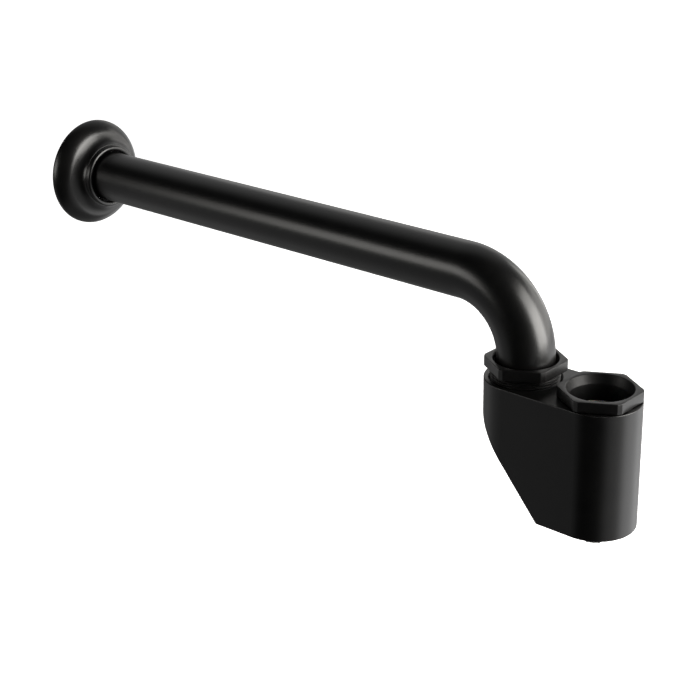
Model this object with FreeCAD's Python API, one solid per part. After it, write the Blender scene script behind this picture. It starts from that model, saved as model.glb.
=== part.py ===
import FreeCAD, Part
import math
import os

from FreeCAD import Vector

# P trap for a wash basin, for 32 mm waste pipe, as an assembly of separate pieces.
# Millimetres, +Z up, +Y towards the wall. The origin is the centre of the inlet port, level with
# the body's top face.

# Waste pipe and its route: up out of the outlet port, round one bend, straight to the wall
pipe_r = 16.0
pipe_wall = 1.2
pipe_bend_r = 40.75
pipe_axis_z = 52.0
pipe_leg_end_z = -17.4
pipe_end_chamfer = 0.4
wall_y = 403.1
pipe_past_wall = 15.0
pipe_mark_depth = 0.4
pipe_mark_width = 0.8

# Cast body: slot-shaped plan round the two ports, with a slanted wall under the outlet
port_spacing = 47.5
body_half_width = 22.75
body_top_z = 0.0
body_bottom_z = -73.0
body_wall = 2.4
body_floor = 3.0
slant_low_y = 22.8
slant_high_z = -15.9
body_top_edge_r = 0.35
body_low_edge_r = 0.35

# Port in the body, the same at the inlet and the outlet: threaded bore, seal seat and ledge
port_r = 19.25
port_rim_r = 20.5
thread_depth = 9.9
seat_r = 18.7
port_depth = 15.2
ledge_r = 16.6
ledge_thickness = 2.5

# Gland nut: hexagon with cut corners on a hollow threaded neck
thread_pitch = 1.5
ridge_upper_share = 0.42
ridge_lower_share = 0.58
nut_height = 5.9
nut_across_flats = 40.5
nut_across_corners = 45.2
nut_turn_deg = -1.0
nut_edge = 0.15
nut_bore_r = 16.3
nut_mouth_r = 18.3
nut_mouth_depth = 5.0
neck_length = 9.0
neck_crest_r = 19.15
neck_root_r = 18.4
neck_relief = 1.9
neck_ridges = 4
neck_end_chamfer = 0.5
nut_gap = 0.5
outlet_nut_raise = 4.6

# Loose pieces under each nut
slip_ring_in_r = 16.5
slip_ring_out_r = 18.5
slip_ring_thickness = 1.5
slip_ring_edge = 0.2
seal_in_r = 16.1
seal_out_r = 18.6
seal_height = 5.2
seal_bevel = 0.6

# Drain plug under the inlet port
drain_boss_r = 10.5
drain_boss_height = 4.0
drain_hole_r = 6.1
drain_crest_r = 6.0
drain_root_r = 5.3
drain_ridges = 4
drain_shank_length = 8.1
drain_flange_r = 8.0
drain_flange_thickness = 1.3
drain_head_flats = 13.0
drain_head_height = 7.2
drain_head_bevel = 0.6
drain_end_chamfer = 0.5
drain_end_lead = 0.8
flange_edge = 0.3
gasket_out_r = 7.8
gasket_in_r = 6.15
gasket_thickness = 1.5
gasket_edge = 0.25

# Wall escutcheon: thin bell that flares out, runs along a shelf and curves up to a beaded collar
bell_r = 34.7
bell_rim = 0.9
bell_wall = 1.6
bell_back_edge = 0.3
rim_handle = 3.5
shelf_r = 27.6
shelf_depth = 10.0
shelf_slope_deg = 21.0
shelf_handle = 2.6
bell_neck_r = 20.75
bell_neck_depth = 16.8
neck_handle = 3.6
cavity_neck_depth = 12.0
cavity_handle = 1.5
collar_r = 20.35
collar_front = 20.2
collar_bore_r = 17.0
collar_back = 7.0
grip_groove_r = 18.7
grip_groove_width = 2.9
grip_ring_y = 10.4
grip_section_r = 1.25
grip_centre_r = 17.4

MM_TOL = 0.01
CLEAR = 1.0
Z_AXIS = Vector(0, 0, 1)


def turned(points, base, direction):
    """Solid of revolution about Z from (radius, height) points, then moved to base along direction."""
    outline = [Vector(r, 0, h) for r, h in points]
    outline.append(outline[0])
    section = Part.Face(Part.makePolygon(outline))
    return placed(section.revolve(Vector(0, 0, 0), Z_AXIS, 360), base, direction)


def placed(shape, base, direction):
    """Carry a shape drawn about +Z from the origin to base, with its +Z along direction."""
    shape.Placement = FreeCAD.Placement(base, FreeCAD.Rotation(Z_AXIS, direction))
    return shape


def at_port(y, z):
    return Vector(0, y, z)


def hexagon(across_flats, height, z_low):
    """Hexagonal prism about Z with two of its flats facing +Y and -Y."""
    corner_r = across_flats / 2 / math.cos(math.pi / 6)
    corners = []
    for k in range(6):
        a = math.radians(60 * k)
        corners.append(Vector(corner_r * math.cos(a), corner_r * math.sin(a), z_low))
    corners.append(corners[0])
    return Part.Face(Part.makePolygon(corners)).extrude(Vector(0, 0, height))


def ridges(crest_r, root_r, z_top, count):
    """Points down the side of a thread drawn as closed ridges, one each pitch."""
    points = []
    for k in range(count):
        z = z_top - k * thread_pitch
        points.append((root_r, z))
        points.append((crest_r, z - ridge_upper_share * thread_pitch))
        points.append((crest_r, z - ridge_lower_share * thread_pitch))
    points.append((root_r, z_top - count * thread_pitch))
    return points


def edges_where(shape, test):
    return [edge for edge in shape.Edges if test(edge)]


# ---- Trap body ----

def slot_prism(half_width, z_low, z_high):
    """Upright prism whose plan is a slot with its two end arcs centred on the ports."""
    near_a = Vector(-half_width, 0, z_low)
    near_mid = Vector(0, -half_width, z_low)
    near_b = Vector(half_width, 0, z_low)
    far_a = Vector(half_width, port_spacing, z_low)
    far_mid = Vector(0, port_spacing + half_width, z_low)
    far_b = Vector(-half_width, port_spacing, z_low)
    loop = [
        Part.Arc(near_a, near_mid, near_b).toShape(),
        Part.makeLine(near_b, far_a),
        Part.Arc(far_a, far_mid, far_b).toShape(),
        Part.makeLine(far_b, near_a),
    ]
    return Part.Face(Part.Wire(loop)).extrude(Vector(0, 0, z_high - z_low))


def outside_slant(inset):
    """Everything beyond the slanted wall's plane, with the plane moved inwards by inset."""
    far_y = port_spacing + body_half_width
    angle = math.atan2(slant_high_z - body_bottom_z, far_y - slant_low_y)
    reach = 2.5 * body_half_width
    shift = Vector(0, -inset * math.sin(angle), inset * math.cos(angle))
    along = Vector(0, reach * math.cos(angle), reach * math.sin(angle))
    low = Vector(-reach, slant_low_y, body_bottom_z) + shift - along
    high = Vector(-reach, far_y, slant_high_z) + shift + along
    corner = Vector(-reach, high.y, low.z)
    face = Part.Face(Part.makePolygon([low, corner, high, low]))
    return face.extrude(Vector(2 * reach, 0, 0))


def port_space(y):
    """Empty space of one port: rim chamfer, threaded bore, seal seat and the hole in its ledge."""
    rim = port_rim_r - port_r
    bottom = -port_depth - ledge_thickness - CLEAR
    points = [
        (0, CLEAR),
        (port_rim_r + CLEAR, CLEAR),
        (port_r, -rim),
        (port_r, -thread_depth),
        (seat_r, -thread_depth),
        (seat_r, -port_depth),
        (ledge_r, -port_depth),
        (ledge_r, bottom),
        (0, bottom),
    ]
    return turned(points, at_port(y, body_top_z), Z_AXIS)


def make_trap_body():
    outer = slot_prism(body_half_width, body_bottom_z, body_top_z).cut(outside_slant(0))
    top_edges = edges_where(outer, lambda e: min(v.Z for v in e.Vertexes) > body_top_z - MM_TOL)
    outer = outer.makeFillet(body_top_edge_r, top_edges)
    low_edges = edges_where(outer, is_sharp_low_edge)
    outer = outer.makeFillet(body_low_edge_r, low_edges)

    chamber_top = body_top_z - port_depth - ledge_thickness
    chamber_floor = body_bottom_z + body_floor
    chamber = slot_prism(body_half_width - body_wall, chamber_floor, chamber_top)
    chamber = chamber.cut(outside_slant(body_wall))
    boss = Part.makeCylinder(drain_boss_r, drain_boss_height, at_port(0, chamber_floor))
    chamber = chamber.cut(boss)
    drain_depth = body_floor + drain_boss_height
    drain_low = at_port(0, body_bottom_z - CLEAR)
    drain_hole = Part.makeCylinder(drain_hole_r, drain_depth + 2 * CLEAR, drain_low)

    body = outer.cut(chamber)
    for y in (0, port_spacing):
        body = body.cut(port_space(y))
    return body.cut(drain_hole).removeSplitter()


def is_sharp_low_edge(edge):
    """True for the floor's outline and the outline of the slanted wall."""
    low = min(v.Z for v in edge.Vertexes)
    high = max(v.Z for v in edge.Vertexes)
    on_floor = high < body_bottom_z + MM_TOL
    below_top = high < body_top_z - body_top_edge_r - CLEAR
    upright = abs(edge.tangentAt(edge.FirstParameter).z) > 1 - 1e-6
    return on_floor or (below_top and low > body_bottom_z - CLEAR and not upright)


# ---- Gland nuts, slip rings and seals ----

def make_gland_nut(y, hex_z):
    """Nut with its hexagon's underside at hex_z."""
    head = hexagon(nut_across_flats, nut_height, 0)
    cutter = hexagon(nut_across_corners, nut_height, 0)
    cutter.Placement = FreeCAD.Placement(Vector(0, 0, 0), FreeCAD.Rotation(Z_AXIS, 30))
    head = head.common(cutter)
    head = head.makeChamfer(nut_edge, head.Edges)
    neck_points = [(nut_bore_r, CLEAR), (neck_root_r, CLEAR)]
    neck_points += ridges(neck_crest_r, neck_root_r, -neck_relief, neck_ridges)
    neck_points += [
        (neck_root_r, -neck_length + neck_end_chamfer),
        (neck_root_r - neck_end_chamfer, -neck_length),
        (nut_bore_r, -neck_length),
    ]
    neck = turned(neck_points, Vector(0, 0, 0), Z_AXIS)
    mouth_points = [
        (0, nut_height + CLEAR),
        (nut_mouth_r, nut_height + CLEAR),
        (nut_mouth_r, nut_height),
        (nut_bore_r, nut_height - nut_mouth_depth),
        (nut_bore_r, -CLEAR),
        (0, -CLEAR),
    ]
    mouth = turned(mouth_points, Vector(0, 0, 0), Z_AXIS)
    nut = head.cut(mouth).fuse(neck).removeSplitter()
    nut.Placement = FreeCAD.Placement(at_port(y, hex_z), FreeCAD.Rotation(Z_AXIS, nut_turn_deg))
    return nut


def make_slip_ring(y, top_z):
    edge = slip_ring_edge
    low = -slip_ring_thickness
    points = [
        (slip_ring_in_r + edge, 0),
        (slip_ring_out_r - edge, 0),
        (slip_ring_out_r, -edge),
        (slip_ring_out_r, low + edge),
        (slip_ring_out_r - edge, low),
        (slip_ring_in_r + edge, low),
        (slip_ring_in_r, low + edge),
        (slip_ring_in_r, -edge),
    ]
    return turned(points, at_port(y, top_z), Z_AXIS)


def make_seal(y):
    """Rubber ring that stands on the port's ledge, bevelled towards the slip ring."""
    points = [
        (seal_in_r, 0),
        (seal_out_r, 0),
        (seal_out_r, seal_height - 2 * seal_bevel),
        (seal_out_r - seal_bevel, seal_height),
        (seal_in_r + seal_bevel, seal_height),
        (seal_in_r, seal_height - seal_bevel),
    ]
    return turned(points, at_port(y, body_top_z - port_depth), Z_AXIS)


# ---- Waste pipe ----

def pipe_run(radius, end_inset):
    """Solid rod along the pipe's route, drawn in by end_inset at both ends."""
    leg_low = pipe_leg_end_z + end_inset
    bend_z = pipe_axis_z - pipe_bend_r
    bend_y = port_spacing + pipe_bend_r
    far_y = wall_y + pipe_past_wall - end_inset
    leg = Part.makeCylinder(radius, bend_z - leg_low, at_port(port_spacing, leg_low))
    circle = Part.Wire(Part.makeCircle(radius, at_port(port_spacing, bend_z), Z_AXIS))
    bend = Part.Face(circle).revolve(at_port(bend_y, bend_z), Vector(-1, 0, 0), 90)
    straight = Part.makeCylinder(radius, far_y - bend_y, at_port(bend_y, pipe_axis_z), Vector(0, 1, 0))
    return leg.fuse([bend, straight]).removeSplitter()


def make_wall_pipe():
    rod = pipe_run(pipe_r, 0)
    end_edges = edges_where(rod, is_pipe_end)
    rod = rod.makeChamfer(pipe_end_chamfer, end_edges)
    return rod.cut([pipe_run(pipe_r - pipe_wall, -CLEAR), insertion_mark()])


def insertion_mark():
    """Shallow turned groove that shows how far the pipe goes into the wall socket."""
    points = [
        (pipe_r + CLEAR, 0),
        (pipe_r + CLEAR, pipe_mark_width),
        (pipe_r - pipe_mark_depth, pipe_mark_width),
        (pipe_r - pipe_mark_depth, 0),
    ]
    return turned(points, Vector(0, wall_y, pipe_axis_z), Vector(0, 1, 0))


def is_pipe_end(edge):
    centre = edge.CenterOfMass
    at_leg = abs(centre.z - pipe_leg_end_z) < MM_TOL
    at_wall = abs(centre.y - wall_y - pipe_past_wall) < MM_TOL
    return at_leg or at_wall


# ---- Wall escutcheon ----

def shelf_point(inset, reach):
    """Place on the shelf's line, at reach inwards of its middle, sunk by inset."""
    slope = math.radians(shelf_slope_deg)
    r = shelf_r - reach * math.cos(slope) - inset * math.sin(slope)
    return (r, shelf_depth + reach * math.sin(slope) - inset * math.cos(slope))


def bell_side(rim, inset, neck, handle):
    """Flare from the rim to the shelf, then the sweep from the shelf up to the neck."""
    flare = [rim, (rim[0], rim[1] + rim_handle - inset), shelf_point(inset, -shelf_handle)]
    flare.append(shelf_point(inset, 0))
    sweep = [shelf_point(inset, 0), shelf_point(inset, shelf_handle), (neck[0], neck[1] - handle), neck]
    edges = []
    for points in (flare, sweep):
        curve = Part.BezierCurve()
        curve.setPoles([Vector(r, 0, depth) for r, depth in points])
        edges.append(curve.toShape())
    return edges


def polyline(points):
    return [Part.makeLine(Vector(a[0], 0, a[1]), Vector(b[0], 0, b[1])) for a, b in zip(points, points[1:])]


def make_escutcheon():
    """Section drawn as radius from the pipe's axis and depth from the wall, then turned."""
    half_groove = grip_groove_width / 2
    rim = (bell_r, bell_rim)
    cavity_rim = (bell_r - bell_wall, 0)
    cavity_neck = (collar_r, cavity_neck_depth)
    bead_r = (collar_r - collar_bore_r) / 2
    bead_z = collar_front - bead_r
    back = [
        rim,
        (bell_r, bell_back_edge),
        (bell_r - bell_back_edge, 0),
        cavity_rim,
    ]
    sleeve = [
        cavity_neck,
        (collar_r, collar_back),
        (collar_bore_r, collar_back),
        (collar_bore_r, grip_ring_y - half_groove),
        (grip_groove_r, grip_ring_y - half_groove),
        (grip_groove_r, grip_ring_y + half_groove),
        (collar_bore_r, grip_ring_y + half_groove),
        (collar_bore_r, bead_z),
    ]
    bead = Part.Arc(
        Vector(collar_bore_r, 0, bead_z),
        Vector(collar_bore_r + bead_r, 0, collar_front),
        Vector(collar_r, 0, bead_z),
    ).toShape()
    seam = [(collar_r, bead_z), (collar_r, bell_neck_depth), (bell_neck_r, bell_neck_depth)]
    loop = bell_side(rim, 0, (bell_neck_r, bell_neck_depth), neck_handle)
    loop += polyline(back) + bell_side(cavity_rim, bell_wall, cavity_neck, cavity_handle)
    loop += polyline(sleeve) + [bead] + polyline(seam)
    section = Part.Face(Part.Wire(Part.__sortEdges__(loop)))
    bell = section.revolve(Vector(0, 0, 0), Z_AXIS, 360)
    return placed(bell, Vector(0, wall_y, pipe_axis_z), Vector(0, -1, 0))


def make_grip_ring():
    ring = Part.makeTorus(grip_centre_r, grip_section_r)
    return placed(ring, Vector(0, wall_y - grip_ring_y, pipe_axis_z), Vector(0, -1, 0))


# ---- Drain plug and gasket ----

def make_drain_plug():
    """Hex-headed plug whose threaded shank stands up through the floor."""
    flange_top = body_bottom_z - gasket_thickness
    ridge_top = drain_shank_length - drain_end_lead
    points = [(0, drain_shank_length), (drain_root_r - drain_end_chamfer, drain_shank_length)]
    points += ridges(drain_crest_r, drain_root_r, ridge_top, drain_ridges)
    points += [
        (drain_root_r, 0),
        (drain_flange_r - flange_edge, 0),
        (drain_flange_r, -flange_edge),
        (drain_flange_r, -drain_flange_thickness + flange_edge),
        (drain_flange_r - flange_edge, -drain_flange_thickness),
        (0, -drain_flange_thickness),
    ]
    shank = turned(points, Vector(0, 0, 0), Z_AXIS)
    head_low = -drain_flange_thickness - drain_head_height
    head = hexagon(drain_head_flats, drain_head_height, head_low)
    corner_r = drain_head_flats / 2 / math.cos(math.pi / 6)
    bevel = drain_head_bevel
    trim_points = [
        (0, head_low),
        (corner_r - 2 * bevel, head_low),
        (corner_r, head_low + bevel),
        (corner_r, 0),
        (0, 0),
    ]
    head = head.common(turned(trim_points, Vector(0, 0, 0), Z_AXIS))
    plug = shank.fuse(head).removeSplitter()
    plug.Placement = FreeCAD.Placement(at_port(0, flange_top), FreeCAD.Rotation())
    return plug


def make_drain_gasket():
    edge = gasket_edge
    points = [
        (gasket_in_r, 0),
        (gasket_out_r - edge, 0),
        (gasket_out_r, -edge),
        (gasket_out_r, -gasket_thickness + edge),
        (gasket_out_r - edge, -gasket_thickness),
        (gasket_in_r, -gasket_thickness),
    ]
    return turned(points, at_port(0, body_bottom_z), Z_AXIS)


def build():
    inlet_hex_z = body_top_z + nut_gap
    outlet_hex_z = inlet_hex_z + outlet_nut_raise
    pieces = {"trap_body": make_trap_body()}
    for side, y, hex_z in (("inlet", 0, inlet_hex_z), ("outlet", port_spacing, outlet_hex_z)):
        pieces[side + "_gland_nut"] = make_gland_nut(y, hex_z)
        pieces[side + "_slip_ring"] = make_slip_ring(y, hex_z - neck_length)
        pieces[side + "_seal"] = make_seal(y)
    pieces["wall_pipe"] = make_wall_pipe()
    pieces["wall_escutcheon"] = make_escutcheon()
    pieces["escutcheon_grip_ring"] = make_grip_ring()
    pieces["drain_plug"] = make_drain_plug()
    pieces["drain_gasket"] = make_drain_gasket()
    return pieces


os.makedirs("parts", exist_ok=True)
for name, shape in build().items():
    solids = shape.Solids
    print(name, "solids", len(solids), "valid", shape.isValid(), "volume", round(shape.Volume, 1))
    part = solids[0] if len(solids) == 1 else Part.makeCompound(solids)
    part.exportStep("parts/" + name + ".step")
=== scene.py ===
import math

import bmesh
import bpy
from mathutils import Matrix, Vector


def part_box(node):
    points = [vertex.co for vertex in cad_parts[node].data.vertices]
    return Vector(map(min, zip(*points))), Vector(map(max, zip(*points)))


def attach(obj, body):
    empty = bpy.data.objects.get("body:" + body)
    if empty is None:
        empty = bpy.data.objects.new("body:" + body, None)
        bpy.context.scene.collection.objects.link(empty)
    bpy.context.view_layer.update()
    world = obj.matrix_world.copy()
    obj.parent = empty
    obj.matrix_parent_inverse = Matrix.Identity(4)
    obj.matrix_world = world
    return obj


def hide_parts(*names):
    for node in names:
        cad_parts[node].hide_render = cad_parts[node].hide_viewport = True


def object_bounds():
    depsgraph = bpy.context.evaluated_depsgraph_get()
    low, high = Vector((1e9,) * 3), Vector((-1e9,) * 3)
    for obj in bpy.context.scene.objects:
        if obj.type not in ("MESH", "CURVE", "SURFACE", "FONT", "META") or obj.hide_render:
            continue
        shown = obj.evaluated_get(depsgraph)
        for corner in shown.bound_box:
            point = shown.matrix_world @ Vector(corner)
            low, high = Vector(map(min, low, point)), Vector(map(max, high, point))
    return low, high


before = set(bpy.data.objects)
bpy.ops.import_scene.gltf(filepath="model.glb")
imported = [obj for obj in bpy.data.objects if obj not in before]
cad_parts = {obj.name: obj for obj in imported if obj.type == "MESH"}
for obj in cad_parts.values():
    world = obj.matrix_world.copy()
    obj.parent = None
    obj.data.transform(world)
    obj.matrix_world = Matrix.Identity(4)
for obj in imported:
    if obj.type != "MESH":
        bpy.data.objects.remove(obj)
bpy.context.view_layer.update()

scene = bpy.context.scene
MM = 0.001

# ---- Driving dimensions, in metres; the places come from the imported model's boxes ----

PIPE_R = 16.0 * MM
PIPE_WALL = 1.2 * MM
PIPE_BEND_R = 40.75 * MM
PIPE_MARK = 0.4 * MM
PIPE_MARK_WIDTH = 0.8 * MM
PIPE_PAST_WALL = 15.0 * MM
PIPE_EDGE = 0.35 * MM

PITCH = 1.5 * MM
NUT_FLATS = 40.5 * MM
NUT_CORNERS = 45.2 * MM
NUT_TURN = math.radians(-1.0)
NUT_EDGE = 0.3 * MM
NUT_BORE_R = 16.3 * MM
NUT_MOUTH_R = 18.3 * MM
NUT_MOUTH_DEPTH = 5.0 * MM
NECK_LENGTH = 9.0 * MM
NECK_CREST_R = 19.1 * MM
NECK_ROOT_R = 18.4 * MM

PORT_WALL_R = 19.25 * MM
PORT_THREAD_R = 18.75 * MM
PORT_THREAD_TOP = -1.6 * MM
PORT_THREAD_BOTTOM = -9.6 * MM

RING_IN_R = 16.5 * MM
RING_OUT_R = 18.5 * MM
SEAL_IN_R = 16.1 * MM
SEAL_OUT_R = 18.6 * MM
SEAL_GAP = 0.03 * MM
SEAL_GROOVES = 3
SEAL_GROOVE_HALF = 0.3 * MM
SEAL_GROOVE_DEPTH = 0.25 * MM
SEAL_BEVEL = 0.6 * MM
RING_EDGE = 0.2 * MM

DRAIN_HOLE_R = 6.1 * MM
DRAIN_THREAD_R = 5.6 * MM
DRAIN_THREAD_LENGTH = 5.8 * MM
DRAIN_THREAD_RISE = 0.6 * MM
SHANK_CREST_R = 5.95 * MM
SHANK_ROOT_R = 5.35 * MM
SHANK_LENGTH = 8.1 * MM
FLANGE_R = 8.0 * MM
FLANGE_THICKNESS = 1.3 * MM
HEAD_FLATS = 13.0 * MM
HEAD_CUT = math.radians(27.5)
GASKET_OUT_R = 7.8 * MM
GASKET_IN_R = 6.15 * MM
GASKET_OUT_EDGE = 0.4 * MM
GASKET_IN_EDGE = 0.15 * MM

BELL_R = 34.68 * MM
BELL_RIM = 0.9 * MM
BELL_WALL = 1.6 * MM
RIM_HANDLE = 3.5 * MM
SHELF_R = 27.6 * MM
SHELF_DEPTH = 10.0 * MM
SHELF_SLOPE = math.radians(21)
SHELF_HANDLE = 2.6 * MM
BELL_NECK_R = 20.75 * MM
BELL_NECK_DEPTH = 16.8 * MM
NECK_HANDLE = 3.6 * MM
CAVITY_NECK_DEPTH = 12.0 * MM
CAVITY_HANDLE = 1.5 * MM
COLLAR_R = 20.35 * MM
COLLAR_FRONT = 20.2 * MM
COLLAR_BORE_R = 17.0 * MM
COLLAR_BACK = 7.0 * MM
GRIP_GROOVE_R = 18.7 * MM
GRIP_GROOVE_WIDTH = 2.9 * MM
GRIP_RING_DEPTH = 10.4 * MM
GRIP_SECTION_R = 1.25 * MM
GRIP_CENTRE_R = 17.4 * MM

# Width of the broken edges on turned parts
EDGE_BREAK = 0.3 * MM
SMALL_BREAK = 0.15 * MM

# Where a nut's thread stops short of its hexagon and of its end
NECK_THREAD_TOP = 1.2 * MM
NECK_THREAD_LOW = 0.4 * MM

# Lengths over which a thread rises to its full height
THREAD_FADE = 0.8 * MM
NECK_LEAD = 0.9 * MM

# How far a thread in a hole reaches into the wall behind it
BURIED = 0.05 * MM

# Radius of the small ring that closes the drain plug's ends
TIP = 0.01 * MM

# The camera's values come from fitting its view to the object's outline in the photo
CAMERA_AZIMUTH = math.radians(-47.99)
CAMERA_ELEVATION = math.radians(22.9)
CAMERA_ROLL = math.radians(-1.36)
CAMERA_LENS = 78.56
CAMERA_PLACE = Vector((-0.6257, -0.3885, 0.3372))

# Edges that bend by more than this stay sharp
SHARP_ANGLE = math.radians(28)
FULL = 2 * math.pi
SEGMENTS = 96


def centre(node):
    low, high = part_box(node)
    return (low + high) / 2


def make_camera():
    """Camera of the product view: left of the object, a little above it."""
    data = bpy.data.cameras.new("camera")
    data.sensor_width = 36.0
    data.lens = CAMERA_LENS
    data.clip_start = 0.01
    data.clip_end = 60
    camera = bpy.data.objects.new("camera", data)
    scene.collection.objects.link(camera)
    level = math.cos(CAMERA_ELEVATION)
    towards_camera = (math.sin(CAMERA_AZIMUTH) * level, -math.cos(CAMERA_AZIMUTH) * level)
    back = Vector((*towards_camera, math.sin(CAMERA_ELEVATION)))
    right = Vector((math.cos(CAMERA_AZIMUTH), math.sin(CAMERA_AZIMUTH), 0))
    up = back.cross(right)
    rolled_right = right * math.cos(CAMERA_ROLL) + up * math.sin(CAMERA_ROLL)
    rolled_up = up * math.cos(CAMERA_ROLL) - right * math.sin(CAMERA_ROLL)
    turn = Matrix((rolled_right, rolled_up, back)).transposed().to_4x4()
    camera.matrix_world = Matrix.Translation(CAMERA_PLACE) @ turn
    scene.camera = camera


# ---- Materials ----

class Nodes:
    """A material's node tree with short ways to add and join nodes."""

    def __init__(self, name):
        self.material = bpy.data.materials.new(name)
        self.material.use_nodes = True
        self.tree = self.material.node_tree
        self.shader = self.tree.nodes["Principled BSDF"]
        self.place = self.tree.nodes.new("ShaderNodeTexCoord").outputs["Object"]

    def set(self, **values):
        for key, value in values.items():
            self.shader.inputs[key.replace("_", " ")].default_value = value

    def noise(self, scale, detail=3.0, roughness=0.55):
        node = self.tree.nodes.new("ShaderNodeTexNoise")
        node.inputs["Scale"].default_value = scale
        node.inputs["Detail"].default_value = detail
        node.inputs["Roughness"].default_value = roughness
        self.tree.links.new(self.place, node.inputs["Vector"])
        return node.outputs["Fac"]

    def cells(self, scale):
        node = self.tree.nodes.new("ShaderNodeTexVoronoi")
        node.feature = "SMOOTH_F1"
        node.inputs["Scale"].default_value = scale
        self.tree.links.new(self.place, node.inputs["Vector"])
        return node.outputs["Distance"]

    def span(self, value, low, high):
        """Map a 0 to 1 value onto low to high."""
        node = self.tree.nodes.new("ShaderNodeMapRange")
        node.inputs["To Min"].default_value = low
        node.inputs["To Max"].default_value = high
        self.tree.links.new(value, node.inputs["Value"])
        return node.outputs["Result"]

    def ramp(self, value, stops):
        node = self.tree.nodes.new("ShaderNodeValToRGB")
        while len(node.color_ramp.elements) < len(stops):
            node.color_ramp.elements.new(0.5)
        for element, (position, color) in zip(node.color_ramp.elements, stops):
            element.position = position
            element.color = (*color, 1)
        self.tree.links.new(value, node.inputs["Fac"])
        return node.outputs["Color"]

    def link(self, value, key):
        self.tree.links.new(value, self.shader.inputs[key])

    def bumps(self, *layers):
        """Stack bump layers, each (height, distance in metres, strength)."""
        normal = None
        for height, distance, strength in layers:
            node = self.tree.nodes.new("ShaderNodeBump")
            node.inputs["Distance"].default_value = distance
            node.inputs["Strength"].default_value = strength
            self.tree.links.new(height, node.inputs["Height"])
            if normal is not None:
                self.tree.links.new(normal, node.inputs["Normal"])
            normal = node.outputs["Normal"]
        self.link(normal, "Normal")


def powder_coat(name, roughness, grain, shine=0.5):
    """Satin black powder coat: near black, with a fine even grain and a faint orange peel."""
    n = Nodes(name)
    n.set(Specular_IOR_Level=shine)
    tones = [(0.3, (0.0016, 0.0016, 0.0017)), (0.75, (0.0036, 0.0035, 0.0034))]
    n.link(n.ramp(n.noise(90, 4), tones), "Base Color")
    n.link(n.span(n.noise(260, 5, 0.6), roughness - 0.03, roughness + 0.03), "Roughness")
    n.bumps((n.noise(900, 2), 0.05 * MM, 0.10), (n.noise(3800, 3), 0.02 * MM, grain))
    return n.material


def raw_brass():
    """Drawn brass inside the pipe, dulled and stained along its length."""
    n = Nodes("raw_brass")
    n.set(Metallic=1.0)
    n.link(n.ramp(n.noise(70, 6, 0.65), [(0.3, (0.34, 0.22, 0.09)), (0.7, (0.62, 0.45, 0.2))]), "Base Color")
    n.link(n.span(n.noise(400, 4), 0.28, 0.5), "Roughness")
    n.bumps((n.noise(1500, 3), 0.03 * MM, 0.3))
    return n.material


def rubber():
    """Moulded black rubber with a dusty bloom."""
    n = Nodes("moulded_rubber")
    tones = [(0.35, (0.012, 0.012, 0.012)), (0.8, (0.028, 0.028, 0.027))]
    n.link(n.ramp(n.noise(160, 5), tones), "Base Color")
    n.link(n.span(n.noise(500, 3), 0.55, 0.75), "Roughness")
    n.bumps((n.noise(2600, 3), 0.03 * MM, 0.35))
    return n.material


def polypropylene():
    """Moulded natural-white plastic, slightly waxy."""
    n = Nodes("moulded_polypropylene")
    n.link(n.ramp(n.noise(120, 3), [(0.3, (0.66, 0.66, 0.63)), (0.8, (0.75, 0.75, 0.72))]), "Base Color")
    n.link(n.span(n.noise(300, 3), 0.36, 0.5), "Roughness")
    n.set(Subsurface_Weight=0.15, Subsurface_Scale=1.5 * MM)
    n.bumps((n.cells(1400), 0.02 * MM, 0.15))
    return n.material


def floor_paint():
    n = Nodes("pale_floor")
    n.link(n.ramp(n.noise(3, 2), [(0.3, (0.86, 0.86, 0.86)), (0.8, (0.88, 0.88, 0.88))]), "Base Color")
    n.set(Roughness=0.9, Specular_IOR_Level=0.0)
    n.shader.inputs["Emission Color"].default_value = (1, 1, 1, 1)
    n.shader.inputs["Emission Strength"].default_value = FLOOR_GLOW
    return n.material


# ---- Mesh building ----

def join_rings(mesh, rings, closed=True, slot_of=None):
    """Quads between consecutive rings of points; the last ring joins the first if closed."""
    rows = [[mesh.verts.new(p) for p in ring] for ring in rings]
    pairs = list(zip(rows, rows[1:] + rows[:1])) if closed else list(zip(rows, rows[1:]))
    for index, (a, b) in enumerate(pairs):
        for k in range(len(a)):
            following = (k + 1) % len(a)
            face = mesh.faces.new((a[k], a[following], b[following], b[k]))
            face.smooth = True
            if slot_of:
                face.material_index = slot_of(index)


def finish_piece(mesh, name, materials, node, body):
    """Turn the mesh into an object that stands for a CAD node, or joins a body as an extra piece."""
    bmesh.ops.recalc_face_normals(mesh, faces=mesh.faces)
    data = bpy.data.meshes.new(name)
    mesh.to_mesh(data)
    mesh.free()
    data.set_sharp_from_angle(angle=SHARP_ANGLE)
    piece = bpy.data.objects.new(name, data)
    scene.collection.objects.link(piece)
    for material in materials:
        data.materials.append(material)
    if node:
        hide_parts(node)
    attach(piece, body)
    return piece


def softened(corners, steps=3):
    """Points of a closed outline; each corner is (a, b, radius), and its radius rounds it."""
    points = []
    count = len(corners)
    for k in range(count):
        here = Vector(corners[k][:2])
        before = Vector(corners[k - 1][:2])
        after = Vector(corners[(k + 1) % count][:2])
        radius = corners[k][2]
        if radius <= 0:
            points.append(here)
            continue
        to_before = (before - here).normalized()
        to_after = (after - here).normalized()
        half = to_before.angle(to_after) / 2
        reach = min(radius / math.tan(half), 0.45 * (before - here).length, 0.45 * (after - here).length)
        start = here + to_before * reach
        end = here + to_after * reach
        for step in range(steps + 1):
            t = step / steps
            points.append(start * (1 - t) ** 2 + here * (2 * t * (1 - t)) + end * t ** 2)
    return points


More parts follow.
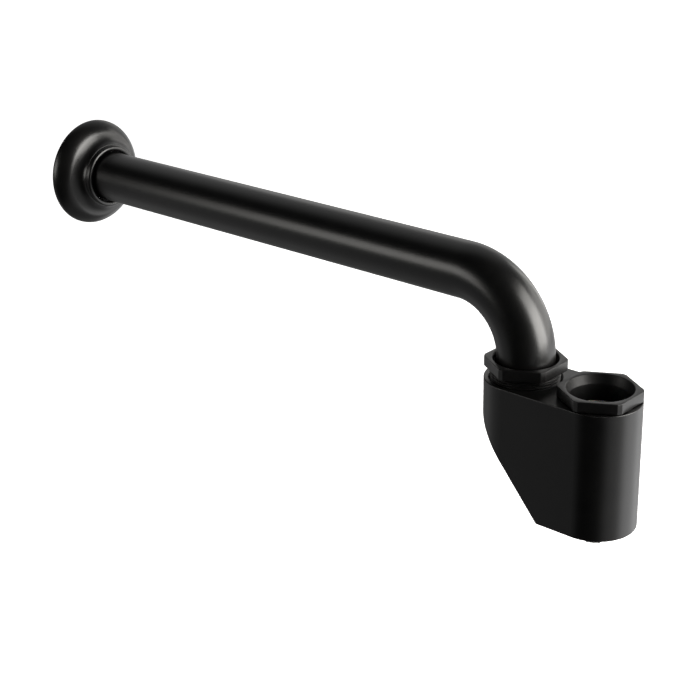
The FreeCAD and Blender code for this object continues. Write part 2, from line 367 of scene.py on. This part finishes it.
def lathe(mesh, outline, place, axis, segments=160):
    """Turn a closed (radius, height) outline about an axis through place."""
    turn = Vector((0, 0, 1)).rotation_difference(Vector(axis)).to_matrix()
    rings = []
    for radius, height in outline:
        ring = []
        for k in range(segments):
            angle = FULL * k / segments
            spot = Vector((radius * math.cos(angle), radius * math.sin(angle), height))
            ring.append(Vector(place) + turn @ spot)
        rings.append(ring)
    join_rings(mesh, rings)


def smoothstep(low, high, value):
    t = min(1.0, max(0.0, (value - low) / (high - low)))
    return t * t * (3 - 2 * t)


def ridge(z, angle):
    """Height of a right-hand thread's ridge, 0 to 1, at a place in the object's own frame."""
    phase = (z / PITCH - angle / FULL) % 1.0
    return 1 - smoothstep(0.2, 0.8, abs(phase - 0.5) * 2)


def valley(z, angle):
    """Height of the mating thread's ridge, which fills the gaps between those of ridge."""
    phase = (z / PITCH - angle / FULL) % 1.0
    return 1 - smoothstep(0.2, 0.8, 1 - abs(phase - 0.5) * 2)


def unit_circle(count):
    return [Vector((math.cos(FULL * k / count), math.sin(FULL * k / count))) for k in range(count)]


def thread_rows(low, high):
    rows = max(2, round((high - low) / (PITCH / 10)))
    return [high - (high - low) * k / rows for k in range(rows + 1)]


# ---- Gland nuts ----

def hex_outline(inset, subdivide=8):
    """Plan of a hexagon with cut corners, moved in by inset, with softened corners."""
    supports = []
    for k in range(6):
        supports.append((math.radians(60 * k + 30), NUT_FLATS / 2 - inset))
        supports.append((math.radians(60 * k + 60), NUT_CORNERS / 2 - inset))
    corners = []
    for k in range(12):
        a0, d0 = supports[k]
        a1, d1 = supports[(k + 1) % 12]
        det = math.sin(a1 - a0)
        x = (d0 * math.sin(a1) - d1 * math.sin(a0)) / det
        y = (d1 * math.cos(a0) - d0 * math.cos(a1)) / det
        corners.append((x, y, NUT_EDGE))
    rounded = softened(corners)
    points = []
    for k in range(len(rounded)):
        a = rounded[k]
        b = rounded[(k + 1) % len(rounded)]
        steps = subdivide if (b - a).length > NUT_EDGE * 4 else 1
        for step in range(steps):
            points.append(a.lerp(b, step / steps))
    turn = Matrix.Rotation(NUT_TURN, 2)
    return [turn @ p for p in points]


def gland_nut(node, body, material, inner_painted_shade_coat):
    """Hexagonal gland nut with soft edges, a coned mouth and a real helical thread on its neck."""
    low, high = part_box(node)
    middle = (low + high) / 2
    hex_low = low.z + NECK_LENGTH
    hex_high = high.z
    directions = [p.normalized() for p in hex_outline(0)]

    def flat_ring(inset, z):
        return [Vector((middle.x + p.x, middle.y + p.y, z)) for p in hex_outline(inset)]

    def round_ring(radius, z):
        return [Vector((middle.x + radius * d.x, middle.y + radius * d.y, z)) for d in directions]

    rings = []
    for share in (0.0, 0.3, 0.7, 1.0):
        angle = share * math.pi / 2
        rings.append(flat_ring(NUT_EDGE * (1 - math.sin(angle)), hex_high - NUT_EDGE * (1 - math.cos(angle))))
    for share in (1.0, 0.7, 0.3, 0.0):
        angle = share * math.pi / 2
        rings.append(flat_ring(NUT_EDGE * (1 - math.sin(angle)), hex_low + NUT_EDGE * (1 - math.cos(angle))))
    neck_first = len(rings)
    rings.append(round_ring(NECK_ROOT_R + EDGE_BREAK, hex_low))
    rings.append(round_ring(NECK_ROOT_R, hex_low - EDGE_BREAK))
    thread_top = hex_low - NECK_THREAD_TOP
    for z in thread_rows(low.z + NECK_THREAD_LOW, thread_top):
        fade = smoothstep(0, THREAD_FADE, thread_top - z) * smoothstep(0, NECK_LEAD, z - low.z)
        ring = []
        for d in directions:
            lift = ridge(z, math.atan2(d.y, d.x)) * fade
            radius = NECK_ROOT_R + (NECK_CREST_R - NECK_ROOT_R) * lift
            ring.append(Vector((middle.x + radius * d.x, middle.y + radius * d.y, z)))
        rings.append(ring)
    rings.append(round_ring(NECK_ROOT_R - 0.15 * MM, low.z + 0.1 * MM))
    rings.append(round_ring(NECK_ROOT_R - 0.4 * MM, low.z))
    rings.append(round_ring(NUT_BORE_R + EDGE_BREAK, low.z))
    rings.append(round_ring(NUT_BORE_R, low.z + EDGE_BREAK))
    mouth_low = hex_high - NUT_MOUTH_DEPTH
    rings.append(round_ring(NUT_BORE_R, mouth_low - EDGE_BREAK))
    rings.append(round_ring(NUT_BORE_R + 0.08 * MM, mouth_low))
    rings.append(round_ring(NUT_BORE_R + 0.3 * MM, mouth_low + 0.28 * MM))
    rings.append(round_ring(NUT_MOUTH_R - 0.25 * MM, hex_high - 0.24 * MM))
    inside_last = len(rings)
    rings.append(round_ring(NUT_MOUTH_R - 0.05 * MM, hex_high - 0.07 * MM))
    rings.append(round_ring(NUT_MOUTH_R + SMALL_BREAK, hex_high))
    mesh = bmesh.new()
    # The neck thread, bore and mouth take the second slot: the duller coat whose low shine is painted shade.
    join_rings(mesh, rings, slot_of=lambda index: 1 if neck_first <= index < inside_last else 0)
    return finish_piece(mesh, body + "_piece", [material, inner_painted_shade_coat], node, body)


def port_thread(name, y, wall_r, crest_r, low, high, material):
    """Helical thread inside a hole of the trap body, in step with the nut or plug that it holds."""
    directions = unit_circle(SEGMENTS)
    buried = wall_r + BURIED
    rings = [[Vector((buried * d.x, y + buried * d.y, high)) for d in directions]]
    for z in thread_rows(low, high):
        fade = smoothstep(0, THREAD_FADE, high - z) * smoothstep(0, THREAD_FADE, z - low)
        ring = []
        for d in directions:
            radius = wall_r - (wall_r - crest_r) * valley(z, math.atan2(d.y, d.x)) * fade
            ring.append(Vector((radius * d.x, y + radius * d.y, z)))
        rings.append(ring)
    rings.append([Vector((buried * d.x, y + buried * d.y, low)) for d in directions])
    mesh = bmesh.new()
    join_rings(mesh, rings)
    return finish_piece(mesh, name, [material], None, "trap")


# ---- Rings and seals ----

def slip_ring(node, body, material):
    low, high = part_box(node)
    middle = (low + high) / 2
    thickness = high.z - low.z
    corners = [(RING_IN_R, 0, RING_EDGE), (RING_OUT_R, 0, RING_EDGE)]
    corners += [(RING_OUT_R, thickness, RING_EDGE), (RING_IN_R, thickness, RING_EDGE)]
    mesh = bmesh.new()
    lathe(mesh, softened(corners), (middle.x, middle.y, low.z), (0, 0, 1))
    return finish_piece(mesh, node + "_piece", [material], node, body)


def seal(node, body, material):
    """Rubber seal with shallow grooves round its outside and a bevel towards the slip ring."""
    low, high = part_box(node)
    middle = (low + high) / 2
    height = high.z - low.z - SEAL_GAP
    corners = [(SEAL_IN_R, 0, 0.25 * MM), (SEAL_OUT_R, 0, 0.25 * MM)]
    for k in range(SEAL_GROOVES):
        base = height * (0.22 + 0.2 * k)
        corners += [(SEAL_OUT_R, base - SEAL_GROOVE_HALF, 0.1 * MM)]
        corners += [(SEAL_OUT_R - SEAL_GROOVE_DEPTH, base, 0.15 * MM)]
        corners += [(SEAL_OUT_R, base + SEAL_GROOVE_HALF, 0.1 * MM)]
    corners += [(SEAL_OUT_R, height - 2 * SEAL_BEVEL, 0.3 * MM)]
    corners += [(SEAL_OUT_R - SEAL_BEVEL, height, RING_EDGE)]
    corners += [(SEAL_IN_R + SEAL_BEVEL, height, RING_EDGE), (SEAL_IN_R, height - SEAL_BEVEL, RING_EDGE)]
    mesh = bmesh.new()
    lathe(mesh, softened(corners), (middle.x, middle.y, low.z), (0, 0, 1))
    return finish_piece(mesh, node + "_piece", [material], node, body)


def grip_ring(material):
    """O-ring inside the escutcheon's collar."""
    middle = centre("escutcheon_grip_ring")
    outline = []
    for k in range(24):
        a = FULL * k / 24
        outline.append((GRIP_CENTRE_R + GRIP_SECTION_R * math.cos(a), GRIP_SECTION_R * math.sin(a)))
    mesh = bmesh.new()
    lathe(mesh, outline, middle, (0, -1, 0))
    node = "escutcheon_grip_ring"
    return finish_piece(mesh, "grip_ring_piece", [material], node, "escutcheon")


# ---- Waste pipe ----

def pipe_route():
    """Centreline stations as (point, tangent): up the leg, round the bend, along to the wall."""
    low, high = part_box("wall_pipe")
    axis_z = high.z - PIPE_R
    leg_y = low.y + PIPE_R
    bend_z = axis_z - PIPE_BEND_R
    bend_y = leg_y + PIPE_BEND_R
    stations = []
    for k in range(8):
        stations.append((Vector((0, leg_y, low.z + (bend_z - low.z) * k / 8)), Vector((0, 0, 1))))
    for k in range(49):
        a = math.pi / 2 * k / 48
        point = Vector((0, bend_y - PIPE_BEND_R * math.cos(a), bend_z + PIPE_BEND_R * math.sin(a)))
        stations.append((point, Vector((0, math.sin(a), math.cos(a)))))
    for k in range(1, 25):
        stations.append((Vector((0, bend_y + (high.y - bend_y) * k / 24, axis_z)), Vector((0, 1, 0))))
    return stations, high.y


def pipe_ring(point, tangent, radius, segments=128):
    side = Vector((1, 0, 0))
    other = tangent.cross(side)
    ring = []
    for k in range(segments):
        a = FULL * k / segments
        ring.append(point + side * (radius * math.cos(a)) + other * (radius * math.sin(a)))
    return ring


def wall_pipe(coat, brass):
    """Bent tube, coated outside and raw brass inside, with softened ends and its insertion mark."""
    stations, end_y = pipe_route()
    inner = PIPE_R - PIPE_WALL
    first, last = stations[0], stations[-1]
    mark_y = end_y - PIPE_PAST_WALL
    rings = [pipe_ring(*first, inner + PIPE_EDGE), pipe_ring(*first, PIPE_R - PIPE_EDGE)]
    rings.append(pipe_ring(first[0] + first[1] * 0.12 * MM, first[1], PIPE_R - 0.1 * MM))
    rings.append(pipe_ring(first[0] + first[1] * PIPE_EDGE, first[1], PIPE_R))
    for point, tangent in stations[1:-1]:
        if point.y < mark_y - 1 * MM:
            rings.append(pipe_ring(point, tangent, PIPE_R))
    steps = [(0, 0), (0.08, 1), (PIPE_MARK_WIDTH / MM - 0.08, 1), (PIPE_MARK_WIDTH / MM, 0)]
    for along, depth in steps:
        point = Vector((0, mark_y + along * MM, last[0].z))
        rings.append(pipe_ring(point, last[1], PIPE_R - PIPE_MARK * depth))
    rings.append(pipe_ring(last[0] - last[1] * PIPE_EDGE, last[1], PIPE_R))
    rings.append(pipe_ring(last[0] - last[1] * 0.12 * MM, last[1], PIPE_R - 0.1 * MM))
    rings.append(pipe_ring(*last, PIPE_R - PIPE_EDGE))
    outside = len(rings)
    rings.append(pipe_ring(*last, inner + PIPE_EDGE))
    rings.append(pipe_ring(last[0] - last[1] * PIPE_EDGE, last[1], inner))
    for point, tangent in reversed(stations[1:-1]):
        rings.append(pipe_ring(point, tangent, inner))
    rings.append(pipe_ring(first[0] + first[1] * PIPE_EDGE, first[1], inner))
    mesh = bmesh.new()
    join_rings(mesh, rings, slot_of=lambda index: 0 if 0 < index < outside - 1 else 1)
    return finish_piece(mesh, "wall_pipe_piece", [coat, brass], "wall_pipe", "pipe")


# ---- Wall escutcheon ----

def shelf_point(inset, reach):
    """Place on the shelf's line, at reach inwards of its middle, sunk by inset."""
    r = SHELF_R - reach * math.cos(SHELF_SLOPE) - inset * math.sin(SHELF_SLOPE)
    return (r, SHELF_DEPTH + reach * math.sin(SHELF_SLOPE) - inset * math.cos(SHELF_SLOPE))


def bezier(poles, count=16):
    a, b, c, d = [Vector(p) for p in poles]
    points = []
    for k in range(count + 1):
        t = k / count
        u = 1 - t
        points.append(a * u ** 3 + b * (3 * u * u * t) + c * (3 * u * t * t) + d * t ** 3)
    return points


def bell_side(rim, inset, neck, handle):
    """Flare from the rim to the shelf, then the sweep from the shelf up to the neck."""
    middle = shelf_point(inset, 0)
    flare = bezier([rim, (rim[0], rim[1] + RIM_HANDLE - inset), shelf_point(inset, -SHELF_HANDLE), middle])
    sweep = bezier([middle, shelf_point(inset, SHELF_HANDLE), (neck[0], neck[1] - handle), neck])
    return flare + sweep[1:]


def escutcheon(coat):
    """Thin bell with a rolled bead on its collar and a groove for the grip ring."""
    low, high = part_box("wall_escutcheon")
    middle = (low + high) / 2
    cavity_rim_r = BELL_R - BELL_WALL
    bead_r = (COLLAR_R - COLLAR_BORE_R) / 2
    bead_depth = COLLAR_FRONT - bead_r
    half = GRIP_GROOVE_WIDTH / 2
    outline = bell_side((BELL_R, BELL_RIM), 0, (BELL_NECK_R, BELL_NECK_DEPTH), NECK_HANDLE)[:-1]
    seam = [
        (BELL_NECK_R, BELL_NECK_DEPTH - 0.3 * MM, 0),
        (BELL_NECK_R, BELL_NECK_DEPTH, 0.25 * MM),
        (COLLAR_R, BELL_NECK_DEPTH, 0.1 * MM),
        (COLLAR_R, bead_depth, 0),
    ]
    outline += softened(seam)[1:]
    for k in range(1, 16):
        a = math.pi * k / 16
        outline.append(Vector((COLLAR_R - bead_r + bead_r * math.cos(a), bead_depth + bead_r * math.sin(a))))
    sleeve = [
        (COLLAR_BORE_R, bead_depth, 0),
        (COLLAR_BORE_R, GRIP_RING_DEPTH + half, 0.15 * MM),
        (GRIP_GROOVE_R, GRIP_RING_DEPTH + half, 0.2 * MM),
        (GRIP_GROOVE_R, GRIP_RING_DEPTH - half, 0.2 * MM),
        (COLLAR_BORE_R, GRIP_RING_DEPTH - half, 0.15 * MM),
        (COLLAR_BORE_R, COLLAR_BACK, 0.3 * MM),
        (COLLAR_R, COLLAR_BACK, 0.3 * MM),
        (COLLAR_R, CAVITY_NECK_DEPTH - 0.1 * MM, 0),
    ]
    outline += softened(sleeve)
    cavity = bell_side((cavity_rim_r, 0.25 * MM), BELL_WALL, (COLLAR_R, CAVITY_NECK_DEPTH), CAVITY_HANDLE)
    outline += list(reversed(cavity))
    outline += [Vector((cavity_rim_r + 0.2 * MM, 0)), Vector((BELL_R - 0.3 * MM, 0))]
    outline += [Vector((BELL_R - 0.08 * MM, 0.1 * MM)), Vector((BELL_R, 0.32 * MM))]
    mesh = bmesh.new()
    lathe(mesh, outline, (middle.x, high.y, middle.z), (0, -1, 0), segments=240)
    return finish_piece(mesh, "escutcheon_piece", [coat], "wall_escutcheon", "escutcheon")


# ---- Drain plug ----

def drain_plug(coat):
    """Hex-headed plug with a flange and a helical thread on its shank."""
    low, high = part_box("drain_plug")
    middle = (low + high) / 2
    flange_top = high.z - SHANK_LENGTH
    flange_low = flange_top - FLANGE_THICKNESS
    directions = unit_circle(SEGMENTS)

    def round_ring(radius, z):
        return [Vector((middle.x + radius * d.x, middle.y + radius * d.y, z)) for d in directions]

    def head_ring(inset, z):
        ring = []
        for k in range(SEGMENTS):
            a = FULL * k / SEGMENTS
            near = math.radians(30) - abs((a % math.radians(60)) - math.radians(30))
            radius = (HEAD_FLATS / 2) / math.cos(math.radians(30) - near)
            radius = min(radius, HEAD_FLATS / 2 / math.cos(HEAD_CUT)) - inset
            ring.append(Vector((middle.x + radius * math.cos(a), middle.y + radius * math.sin(a), z)))
        return ring

    rings = [round_ring(TIP, high.z), round_ring(SHANK_ROOT_R - 0.5 * MM, high.z)]
    thread_low = flange_top + 0.5 * MM
    thread_high = high.z - EDGE_BREAK
    for z in thread_rows(thread_low, thread_high):
        fade = smoothstep(0, THREAD_FADE, thread_high - z) * smoothstep(0, THREAD_FADE, z - thread_low)
        ring = []
        for d in directions:
            radius = SHANK_ROOT_R + (SHANK_CREST_R - SHANK_ROOT_R) * ridge(z, math.atan2(d.y, d.x)) * fade
            ring.append(Vector((middle.x + radius * d.x, middle.y + radius * d.y, z)))
        rings.append(ring)
    rings.append(round_ring(SHANK_ROOT_R, flange_top))
    for inset, drop in ((0.3, 0), (0.09, 0.09), (0, 0.3)):
        rings.append(round_ring(FLANGE_R - inset * MM, flange_top - drop * MM))
    for inset, rise in ((0, 0.3), (0.09, 0.09), (0.3, 0)):
        rings.append(round_ring(FLANGE_R - inset * MM, flange_low + rise * MM))
    rings.append(head_ring(-0.0001 * MM, flange_low))
    rings.append(head_ring(0, flange_low - 0.2 * MM))
    rings.append(head_ring(0, low.z + 0.7 * MM))
    rings.append(head_ring(0.12 * MM, low.z + 0.3 * MM))
    rings.append(round_ring(HEAD_FLATS / 2 - 0.25 * MM, low.z + 0.02 * MM))
    rings.append(round_ring(HEAD_FLATS / 2 - 0.6 * MM, low.z))
    rings.append(round_ring(TIP, low.z))
    mesh = bmesh.new()
    join_rings(mesh, rings, closed=False)
    mesh.verts.ensure_lookup_table()
    mesh.faces.new(mesh.verts[:SEGMENTS])
    mesh.faces.new(mesh.verts[-SEGMENTS:])
    return finish_piece(mesh, "drain_plug_piece", [coat], "drain_plug", "plug")


def drain_gasket(material):
    low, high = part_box("drain_gasket")
    middle = (low + high) / 2
    thickness = high.z - low.z
    corners = [(GASKET_IN_R, 0, GASKET_IN_EDGE), (GASKET_OUT_R, 0, GASKET_OUT_EDGE)]
    corners += [(GASKET_OUT_R, thickness, GASKET_OUT_EDGE), (GASKET_IN_R, thickness, GASKET_IN_EDGE)]
    mesh = bmesh.new()
    lathe(mesh, softened(corners), (middle.x, middle.y, low.z), (0, 0, 1), segments=SEGMENTS)
    return finish_piece(mesh, "drain_gasket_piece", [material], "drain_gasket", "gasket")


# ---- Floor and light ----

FOCUS = Vector((0, 0.12, 0.0))
FLOOR_DROP = 0.25
FLOOR_REACH = 4.0
FLOOR_CURVE = 1.5
FLOOR_WALL = 5.0
FLOOR_GLOW = 1.0

# name, azimuth and elevation seen from the focus, distance, width, height, power in watts
SOFTBOXES = [
    ("key", 18, 13, 1.3, 1.0, 0.85, 32),
    ("key_top", 18, 40, 1.3, 0.9, 0.4, 8),
    ("right", 60, 13, 1.3, 0.8, 0.85, 6),
    ("far_right", 90, 13, 1.3, 0.3, 0.85, 2),
    ("left", -122, 13, 1.3, 0.7, 0.5, 4),
    ("left_back", -170, -5, 1.3, 0.3, 0.3, 1),
    ("back", 125, 20, 1.3, 0.8, 0.4, 0.5),
]

SOFTBOX_TINT = (1.0, 0.98, 0.94)

# azimuth, elevation, width in degrees and strength of each soft patch in the room's light
GLOWS = [
    (45, -30, 40, 1.8),
    (100, -25, 40, 0.9),
    (0, -30, 45, 0.5),
    (-150, -25, 45, 0.25),
    (150, -30, 60, 0.2),
    (0, -80, 50, 0.2),
    (130, 30, 60, 0.4),
]
AMBIENT = 0.01


def towards(azimuth, elevation):
    a, e = math.radians(azimuth), math.radians(elevation)
    return Vector((math.sin(a) * math.cos(e), -math.cos(a) * math.cos(e), math.sin(e)))


def add_softbox(name, azimuth, elevation, distance, width, height, power):
    data = bpy.data.lights.new(name, "AREA")
    data.shape = "RECTANGLE"
    data.size = width
    data.size_y = height
    data.energy = power
    data.color = SOFTBOX_TINT
    light = bpy.data.objects.new(name, data)
    scene.collection.objects.link(light)
    direction = towards(azimuth, elevation)
    light.location = FOCUS + direction * distance
    light.rotation_mode = "QUATERNION"
    light.rotation_quaternion = direction.to_track_quat("Z", "Y")


def room_light():
    """Dim room with a few soft glows, most of them low, as from light on a pale sweep."""
    world = bpy.data.worlds.new("room")
    scene.world = world
    world.use_nodes = True
    tree = world.node_tree
    direction = tree.nodes.new("ShaderNodeTexCoord").outputs["Generated"]
    total = None
    for azimuth, elevation, width, strength in GLOWS:
        dot = tree.nodes.new("ShaderNodeVectorMath")
        dot.operation = "DOT_PRODUCT"
        dot.inputs[1].default_value = towards(azimuth, elevation)
        tree.links.new(direction, dot.inputs[0])
        fall = tree.nodes.new("ShaderNodeMapRange")
        fall.interpolation_type = "SMOOTHERSTEP"
        fall.inputs["From Min"].default_value = math.cos(math.radians(width))
        fall.inputs["To Max"].default_value = strength
        tree.links.new(dot.outputs["Value"], fall.inputs["Value"])
        value = fall.outputs["Result"]
        if total is None:
            total = value
            continue
        add = tree.nodes.new("ShaderNodeMath")
        tree.links.new(total, add.inputs[0])
        tree.links.new(value, add.inputs[1])
        total = add.outputs["Value"]
    base = tree.nodes.new("ShaderNodeMath")
    base.inputs[1].default_value = AMBIENT
    tree.links.new(total, base.inputs[0])
    tree.links.new(base.outputs["Value"], tree.nodes["Background"].inputs["Strength"])
    tree.nodes["Background"].inputs["Color"].default_value = (1, 1, 1, 1)


def make_floor():
    """Pale floor that curves up into a backdrop all round, seen but not mirrored in the coat."""
    low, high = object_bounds()
    middle = (low + high) / 2
    ground = low.z - FLOOR_DROP
    flat = FLOOR_REACH - FLOOR_CURVE
    outline = [(0.01, 0), (1.0, 0), (flat, 0)]
    for k in range(1, 13):
        a = math.pi / 2 * k / 12
        outline.append((flat + FLOOR_CURVE * math.sin(a), FLOOR_CURVE - FLOOR_CURVE * math.cos(a)))
    outline.append((FLOOR_REACH, FLOOR_WALL))
    mesh = bmesh.new()
    rings = []
    for radius, height in outline:
        ring = []
        for k in range(SEGMENTS):
            a = FULL * k / SEGMENTS
            around = Vector((radius * math.cos(a), radius * math.sin(a), height))
            ring.append(Vector((middle.x, middle.y, ground)) + around)
        rings.append(ring)
    join_rings(mesh, rings, closed=False)
    mesh.verts.ensure_lookup_table()
    mesh.faces.new(mesh.verts[:SEGMENTS])
    data = bpy.data.meshes.new("floor")
    mesh.to_mesh(data)
    mesh.free()
    floor = bpy.data.objects.new("floor", data)
    scene.collection.objects.link(floor)
    data.materials.append(floor_paint())
    floor.visible_glossy = False
    floor.visible_shadow = False
    floor.visible_diffuse = False


# ---- The scene ----

make_camera()
coat = powder_coat("satin_black_coat", 0.3, 0.25)
nut_coat = powder_coat("satin_black_nut_coat", 0.34, 0.5)
# Duller coat for the nut necks, bores and mouths and for the threads in the ports: its low shine is painted
# shade, standing in for the shade that falls in thread grooves and bores.
thread_coat_painted_shade = powder_coat("black_thread_coat_painted_shade", 0.45, 0.4, shine=0.25)
brass = raw_brass()
black_rubber = rubber()
white_plastic = polypropylene()

body_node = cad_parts["trap_body"]
body_node.data.materials.clear()
body_node.data.materials.append(coat)
for side in ("inlet", "outlet"):
    gland_nut(side + "_gland_nut", side + "_nut", nut_coat, thread_coat_painted_shade)
    slip_ring(side + "_slip_ring", side + "_ring", white_plastic)
    seal(side + "_seal", "trap", black_rubber)
    port_y = centre(side + "_seal").y
    heights = (PORT_THREAD_BOTTOM, PORT_THREAD_TOP)
    port_thread(side + "_port_thread", port_y, PORT_WALL_R, PORT_THREAD_R, *heights, thread_coat_painted_shade)
drain_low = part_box("trap_body")[0].z + DRAIN_THREAD_RISE
drain_high = drain_low + DRAIN_THREAD_LENGTH
port_thread("drain_hole_thread", 0, DRAIN_HOLE_R, DRAIN_THREAD_R, drain_low, drain_high, thread_coat_painted_shade)
wall_pipe(coat, brass)
escutcheon(coat)
grip_ring(black_rubber)
drain_plug(coat)
drain_gasket(black_rubber)

room_light()
for softbox in SOFTBOXES:
    add_softbox(*softbox)
make_floor()
scene.view_settings.view_transform = "Standard"
